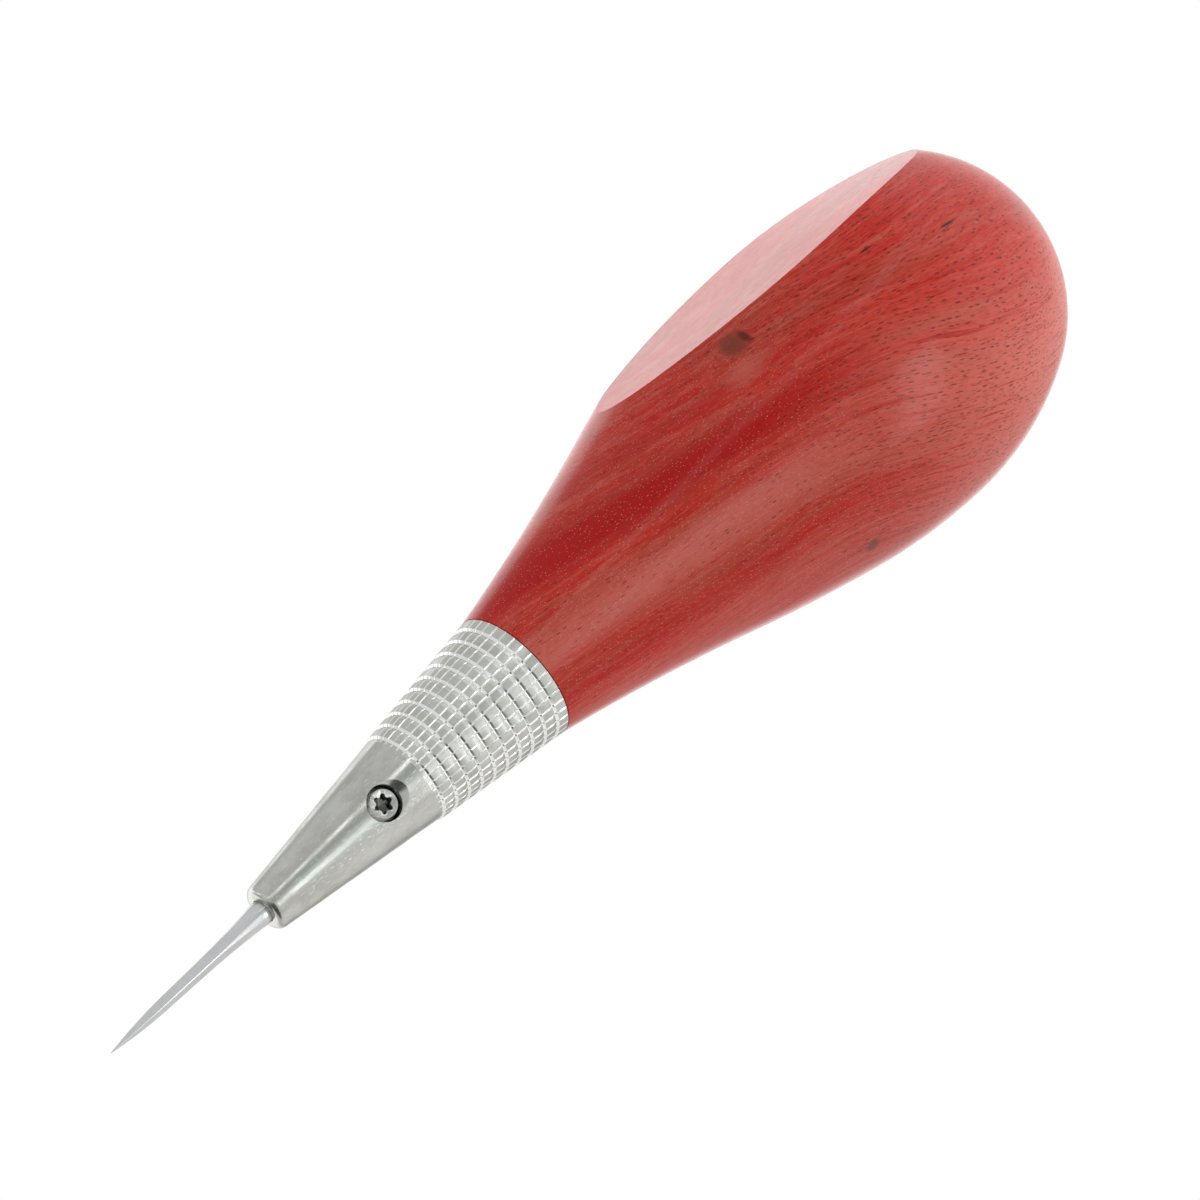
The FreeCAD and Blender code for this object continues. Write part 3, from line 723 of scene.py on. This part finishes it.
chuckSet = {
    "noseRadius": 2.85 * mm,
    "noseRound": 0.95 * mm,
    "coneBack": 22.1 * mm,
    "coneRadius": 5.64 * mm,
    "gripTaper": 7.17,          # degrees
    "ringCount": 10,
    "ringPitch": 1.8 * mm,
    "ringDepth": 0.2 * mm,
    "ringRamp": 0.48 * mm,
    "ringFloor": 0.10 * mm,
    "ringStep": 0.20 * mm,
    "fluteCount": 40,
    "fluteDepth": 0.10 * mm,
    "fluteInRing": 0.05 * mm,   # how much deeper than a ring's floor
    "columnsPerFlute": 8,
    "landDull": 0.16,           # added to the lands' roughness
    # painted highlight colour for the flutes and ring steps
    "paintedShine": (0.97, 0.98, 0.96),
    "edgeBreak": 0.04 * mm,
    "seamHalf": 0.05 * mm,
    "seamDepth": 0.35 * mm,
    "boreRadius": 1.43 * mm,
    "boreBevel": 0.04 * mm,
    "studHole": 3.0 * mm,
    "studDepth": 14.0 * mm,
    "holeRadius": 2.10 * mm,
    "holeFoot": 0.6 * mm,
    "holeTop": 6.2 * mm,
    "sinkRadius": 2.55 * mm,
    "sinkHeight": 5.0 * mm,
    "sharp": 25,
}
chuckFinish = {
    "color": (0.62, 0.63, 0.60),
    "shade": (0.50, 0.50, 0.47),
    "roughness": 0.21,
    "lines": 7.0,
    "depth": 0.02 * mm,
}


def gripRadius(p, back, length, rearRadius):
    return rearRadius - (length - back) * math.tan(math.radians(p["gripTaper"]))


def ringOutline(p, length, rearRadius):
    points = []
    for ring in range(p["ringCount"]):
        start = p["coneBack"] + ring * p["ringPitch"]
        floorStart = start + p["ringRamp"]
        floorEnd = floorStart + p["ringFloor"]
        landStart = floorEnd + p["ringStep"]
        if ring:
            points.append((start, gripRadius(p, start, length, rearRadius)))
        for back in (floorStart, floorEnd):
            points.append((back, gripRadius(p, back, length, rearRadius) - p["ringDepth"]))
        points.append((landStart, gripRadius(p, landStart, length, rearRadius)))
    return points


def chuckOutline(p, length, rearRadius):
    lean = math.degrees(math.atan2(p["coneRadius"] - p["noseRadius"], p["coneBack"]))
    centre = (-p["noseRound"], p["noseRadius"] - p["noseRound"]
              + p["noseRound"] * math.tan(math.radians(lean)) * 0.5)
    nose = arc(centre, p["noseRound"], 0, 90 - lean, 10)
    rings = [(-back, r) for back, r in ringOutline(p, length, rearRadius)]
    outside = [nose[-1], (-p["coneBack"], p["coneRadius"])] + rings
    outside += [(-length + p["seamHalf"], rearRadius), (-length, rearRadius - p["seamDepth"])]
    outside = soften(outside, p["edgeBreak"])
    bore = [
        (-length, p["studHole"]),
        (-length + p["studDepth"], p["studHole"]),
        (-length + p["studDepth"], p["boreRadius"]),
        (-p["boreBevel"], p["boreRadius"]),
        (0, p["boreRadius"] + p["boreBevel"]),
    ]
    return bore + nose[:-1] + outside + bore[:1]


def pressFlutes(bm, p, length, rearRadius):
    # one column of points in every few is a flute, pressed in as a narrow V
    columns = p["fluteCount"] * p["columnsPerFlute"]
    front = -(p["coneBack"] + p["ringRamp"] * 0.5)
    for v in bm.verts:
        radius = math.hypot(v.co.y, v.co.z)
        if v.co.x > front or radius < p["studHole"] + 1 * mm:
            continue
        column = round(math.atan2(v.co.z, v.co.y) / fullTurn * columns)
        if column % p["columnsPerFlute"]:
            continue
        land = gripRadius(p, -v.co.x, length, rearRadius)
        deep = min(radius - p["fluteInRing"], land - p["fluteDepth"])
        v.co.y *= deep / radius
        v.co.z *= deep / radius


def paintGripHighlights(g, here, base, rough):
    # painted highlight: flutes and ring steps get a near-white base colour that stands in for
    # the bright lines they reflect; the lands between them only get more roughness
    p = chuckSet
    parts = g.add("SeparateXYZ")
    g.feed(parts, Vector=g.stretch(here, move=(0, 0, -axisHeight / mm)))
    angle = g.math("SUBTRACT", g.math("ARCTAN2", parts.outputs[2], parts.outputs[1]), droop)
    turns = g.math("MULTIPLY", angle, p["fluteCount"] / fullTurn)
    phase = g.math("FRACT", g.math("ADD", turns, 100.5))
    flute = g.span(g.math("ABSOLUTE", g.math("SUBTRACT", phase, 0.5)), 0.09, 0.13, 1.0, 0.0)
    back = g.math("SUBTRACT", (noseX - p["coneBack"]) / mm, parts.outputs[0])
    ring = g.math("FRACT", g.math("DIVIDE", back, p["ringPitch"] / mm))
    half = (p["ringFloor"] + p["ringStep"]) / p["ringPitch"] / 2
    middle = p["ringRamp"] / p["ringPitch"] + half
    step = g.span(g.math("ABSOLUTE", g.math("SUBTRACT", ring, middle)), half * 0.9, half * 1.1,
                  1.0, 0.0)
    grip = g.span(back, 0.0, 0.2)
    paintedShine = g.math("MULTIPLY", g.math("MAXIMUM", flute, step), grip)
    base = g.blend(paintedShine, base, (*p["paintedShine"], 1))
    dull = g.math("MULTIPLY", g.math("SUBTRACT", grip, paintedShine), p["landDull"])
    return base, g.math("ADD", rough, dull)


def makeScrewHole(p):
    # drawn upright and then laid along the screw's axis
    sinkFoot = p["sinkHeight"] - (p["sinkRadius"] - p["holeRadius"])
    mouth = p["sinkRadius"] + p["holeTop"] - p["sinkHeight"]
    bm = bmesh.new()
    turn(bm, [(p["holeFoot"], 0), (p["holeFoot"], p["holeRadius"]), (sinkFoot, p["holeRadius"]),
              (p["holeTop"], mouth), (p["holeTop"], 0)], 96)
    bm.transform(toolAxis.rotation_difference(screwWay).to_matrix().to_4x4())
    bmesh.ops.translate(bm, verts=bm.verts, vec=screwSpot)
    return finishMesh(bm, "screwHoleCutter")


def makeChuck(p):
    low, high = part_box("chuck")
    length = high.x - low.x
    rearRadius = (high.z - low.z) / 2
    bm = bmesh.new()
    turn(bm, chuckOutline(p, length, rearRadius), p["fluteCount"] * p["columnsPerFlute"])
    pressFlutes(bm, p, length, rearRadius)
    bmesh.ops.recalc_face_normals(bm, faces=bm.faces)
    place(bm, noseX, droop)
    piece = finishMesh(bm, "ringedChuck", p["sharp"])
    cutWith(piece, makeScrewHole(p), p["sharp"])
    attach(piece, "haft")
    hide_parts("chuck")
    return piece


ringedChuck = makeChuck(chuckSet)
# the chuck's metal carries painted highlights on its flutes and ring steps
dress(ringedChuck, makeMetal("chuckMetal", **chuckFinish, touch=paintGripHighlights))
print("chuck ready")


screwSet = {
    "foot": 1.5 * mm,           # heights above the tool's axis
    "length": 2.8 * mm,
    "radius": 1.975 * mm,
    "bevel": 0.34 * mm,
    "threadPitch": 0.7 * mm,
    "threadDepth": 0.28 * mm,
    "threadRows": 24,
    "dishRadius": 1.32 * mm,    # shallow countersink at the socket's mouth
    "dishDepth": 0.10 * mm,
    "socketDepth": 1.5 * mm,
    "socketCone": 0.3 * mm,
    "padHole": 1.0 * mm,        # radius and depth, in the screw's foot
    "padDepth": 0.7 * mm,
    "coreRadius": 0.85 * mm,
    "lobeRadius": 0.30 * mm,
    "lobeSpot": 0.855 * mm,
    "lobes": 6,
    "steps": 144,
    "sharp": 25,
    # painted shade inside the socket: its colour, and how deep and how far out it reaches
    "socketShadeColor": (0.06, 0.06, 0.055),
    "darkStart": 0.2,           # mm below the rim
    "darkFull": 0.9,
    "darkReach": (1.2, 1.3),    # mm from the screw's axis
}
screwFinish = {
    "color": (0.58, 0.58, 0.57),
    "shade": (0.46, 0.46, 0.45),
    "roughness": 0.24,
    "lines": 9.0,
    "depth": 0.01 * mm,
}


def socketRadius(p, angle):
    # the wider of the core and the nearest lobe, seen from the middle
    part = fullTurn / p["lobes"]
    off = (angle + part / 2) % part - part / 2
    aside = p["lobeSpot"] * math.sin(off)
    if abs(aside) >= p["lobeRadius"]:
        return p["coreRadius"]
    lobe = p["lobeSpot"] * math.cos(off) + math.sqrt(p["lobeRadius"] ** 2 - aside ** 2)
    return max(p["coreRadius"], lobe)


def makeScrew(p):
    top = p["foot"] + p["length"]
    lobeReach = p["lobeSpot"] + p["lobeRadius"]
    start = p["foot"] + p["bevel"]
    end = top - p["bevel"]
    rows = [start + (end - start) * i / p["threadRows"] for i in range(p["threadRows"] + 1)]
    side = [(p["foot"] + p["padDepth"], 0), (p["foot"] + p["padDepth"], p["padHole"])]
    side += [(p["foot"], p["padHole"]), (p["foot"], p["radius"] - p["bevel"])]
    side += [(row, p["radius"]) for row in rows]
    side += [(top, p["radius"] - p["bevel"]), (top, p["dishRadius"])]
    mouth = top - p["dishDepth"]
    side += [(mouth, lobeReach), (top - p["socketDepth"], lobeReach)]
    side += [(top - p["socketDepth"] - p["socketCone"], 0)]
    bm = bmesh.new()
    turn(bm, side, p["steps"])
    for v in bm.verts:
        radius = math.hypot(v.co.y, v.co.z)
        angle = math.atan2(v.co.z, v.co.y)
        wanted = radius
        if abs(radius - lobeReach) < 1e-7:
            wanted = socketRadius(p, angle)
        elif abs(radius - p["radius"]) < 1e-7 and start < v.co.x < end:
            phase = ((v.co.x - start) / p["threadPitch"] - angle / fullTurn) % 1
            wanted = p["radius"] - p["threadDepth"] * (1 - abs(2 * phase - 1))
        if radius > 0:
            v.co.y *= wanted / radius
            v.co.z *= wanted / radius
    bm.transform(toolAxis.rotation_difference(screwWay).to_matrix().to_4x4())
    bmesh.ops.translate(bm, verts=bm.verts, vec=screwSpot)
    bmesh.ops.recalc_face_normals(bm, faces=bm.faces)
    piece = finishMesh(bm, "socketScrew", p["sharp"])
    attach(piece, "screw")
    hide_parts("clamp_screw")
    return piece


def paintSocketShade(g, here, base, rough):
    # painted shade: below the rim the socket's base colour goes nearly black, standing in for
    # the shade inside the recess
    p = screwSet
    height = g.add("VectorMath", operation="DOT_PRODUCT")
    g.feed(height, i0=g.stretch(here, move=-screwSpot / mm), i1=screwWay)
    aside = g.add("VectorMath", operation="CROSS_PRODUCT")
    g.feed(aside, i0=g.stretch(here, move=-screwSpot / mm), i1=screwWay)
    far = g.add("VectorMath", operation="LENGTH")
    g.feed(far, i0=aside.outputs[0])
    top = (p["foot"] + p["length"]) / mm
    below = g.span(height.outputs["Value"], top - p["darkFull"], top - p["darkStart"], 1.0, 0.0)
    inside = g.span(far.outputs["Value"], *p["darkReach"], 1.0, 0.0)
    dark = g.math("MULTIPLY", g.math("MULTIPLY", below, inside), 0.85)
    return g.blend(dark, base, (*p["socketShadeColor"], 1)), rough


socketScrew = makeScrew(screwSet)
# the screw's metal carries painted shade inside its socket
dress(socketScrew, makeMetal("screwSteel", **screwFinish, touch=paintSocketShade))
print("screw ready")


bladeSet = {
    "shank": 1.4 * mm,
    "tipRadius": 0.03 * mm,
    "pointLength": 8.5 * mm,    # distances back from the tip
    "pointRadius": 0.765 * mm,
    "taperLength": 15.0 * mm,
    "taperRadius": 0.892 * mm,
    "hollowLength": 23.2 * mm,
    "facetLength": 23.6 * mm,
    "facetShare": 0.75,         # facets' distance from the axis, as a share of the radius
    "facets": 4,
    "facetTurn": 34.0,          # degrees
    "flatColumns": 8,
    "roundColumns": 8,
    "rows": (36, 16, 36),
    "tailBevel": 0.3 * mm,
    "clampFlat": 1.0 * mm,
    "clampBack": 14.1 * mm,     # tool nose to where the flat starts
    "sharp": 18,
}
bladeFinish = {
    "color": (0.74, 0.75, 0.76),
    "shade": (0.66, 0.67, 0.68),
    "roughness": 0.26,
    "lines": 9.0,
    "depth": 0.01 * mm,
}


def arcHeight(start, slope, end, x):
    # an arc that leaves start with a slope and reaches end, at x
    way = Vector((1, slope)).normalized()
    if end[0] < start[0]:
        way = -way
    normal = Vector((-way.y, way.x))
    chord = Vector(end) - Vector(start)
    radius = chord.length_squared / (2 * normal.dot(chord))
    centre = Vector(start) + normal * radius
    lift = math.sqrt(max(radius ** 2 - (x - centre.x) ** 2, 0))
    return centre.y - lift if radius * normal.y > 0 else centre.y + lift


def groundHeight(p, back, share, length):
    # height of the ground side at a distance back from the tip
    low = (p["pointLength"], p["pointRadius"] * share)
    high = (p["taperLength"], p["taperRadius"] * share)
    slope = (high[1] - low[1]) / (high[0] - low[0])
    if back < low[0]:
        return arcHeight(low, slope, (0, p["tipRadius"] * share), back)
    if back < high[0]:
        return low[1] + slope * (back - low[0])
    if back < length:
        return arcHeight(high, slope, (length, p["shank"]), back)
    return p["shank"]


def groundPoint(p, back, step, radius, quarter):
    # angle from the middle of a ground flat, and distance from the axis
    deep = groundHeight(p, back, p["facetShare"], p["facetLength"])
    half = math.acos(min(deep / radius, 1))
    if step > p["flatColumns"]:
        share = (step - p["flatColumns"]) / p["roundColumns"]
        return half + (quarter - 2 * half) * share, radius
    angle = math.atan(math.tan(half) * (2 * step / p["flatColumns"] - 1))
    return angle, min(deep / math.cos(angle), radius)


def makeClampFlatCutter(p):
    # box that leaves the flat the screw's pad sits on
    spare = 1 * mm
    front = noseX - tipX - p["clampBack"]
    rear = tailX - tipX - spare
    bm = bmesh.new()
    bmesh.ops.create_cube(bm, size=1)
    bmesh.ops.scale(bm, verts=bm.verts, vec=(front - rear, p["shank"], 4 * p["shank"]))
    middle = ((front + rear) / 2, -p["clampFlat"] - p["shank"] / 2, 0)
    bmesh.ops.translate(bm, verts=bm.verts, vec=middle)
    place(bm, tipX, droop)
    return finishMesh(bm, "clampFlatCutter")


def makeBlade(p):
    stops = (0, p["pointLength"], p["taperLength"], p["facetLength"])
    backs = []
    for start, end, count in zip(stops, stops[1:], p["rows"]):
        backs += [start + (end - start) * i / count for i in range(count)]
    backs += [p["facetLength"], tipX - tailX - p["tailBevel"]]
    side = [(0, 0)] + [(-b, groundHeight(p, b, 1, p["hollowLength"])) for b in backs]
    side += [(tailX - tipX, p["shank"] - p["tailBevel"]), (tailX - tipX, 0)]
    columns = p["flatColumns"] + p["roundColumns"]
    quarter = fullTurn / p["facets"]
    bm = bmesh.new()
    turn(bm, side, p["facets"] * columns)
    for v in bm.verts:
        radius = math.hypot(v.co.y, v.co.z)
        if radius == 0:
            continue
        facet, step = divmod(round(math.atan2(v.co.z, v.co.y) / quarter * columns), columns)
        angle, wanted = (step - p["flatColumns"] / 2) * quarter / columns, radius
        if -v.co.x < p["facetLength"] - 1e-6:
            angle, wanted = groundPoint(p, -v.co.x, step, radius, quarter)
        angle += facet * quarter + math.radians(p["facetTurn"])
        v.co.y = wanted * math.cos(angle)
        v.co.z = wanted * math.sin(angle)
    bmesh.ops.recalc_face_normals(bm, faces=bm.faces)
    place(bm, tipX, droop)
    piece = finishMesh(bm, "groundBlade", p["sharp"])
    cutWith(piece, makeClampFlatCutter(p), p["sharp"])
    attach(piece, "blade")
    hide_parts("blade")
    return piece


groundBlade = makeBlade(bladeSet)
dress(groundBlade, makeMetal("bladeSteel", **bladeFinish))
print("blade ready")


brassFinish = {
    "color": (0.72, 0.50, 0.20),
    "shade": (0.58, 0.37, 0.13),
    "roughness": 0.30,
    "lines": 5.0,
    "depth": 0.02 * mm,
}
zincFinish = {
    "color": (0.58, 0.60, 0.64),
    "shade": (0.44, 0.47, 0.52),
    "roughness": 0.38,
    "lines": 4.0,
    "depth": 0.02 * mm,
}

brass = makeMetal("turnedBrass", **brassFinish)
zinc = makeMetal("zincSteel", **zincFinish)
dress(frame["nodes"]["threaded_insert"], brass)
dress(frame["nodes"]["clamp_pad"], brass)
dress(frame["nodes"]["joining_stud"], zinc)
print("hidden pieces ready")
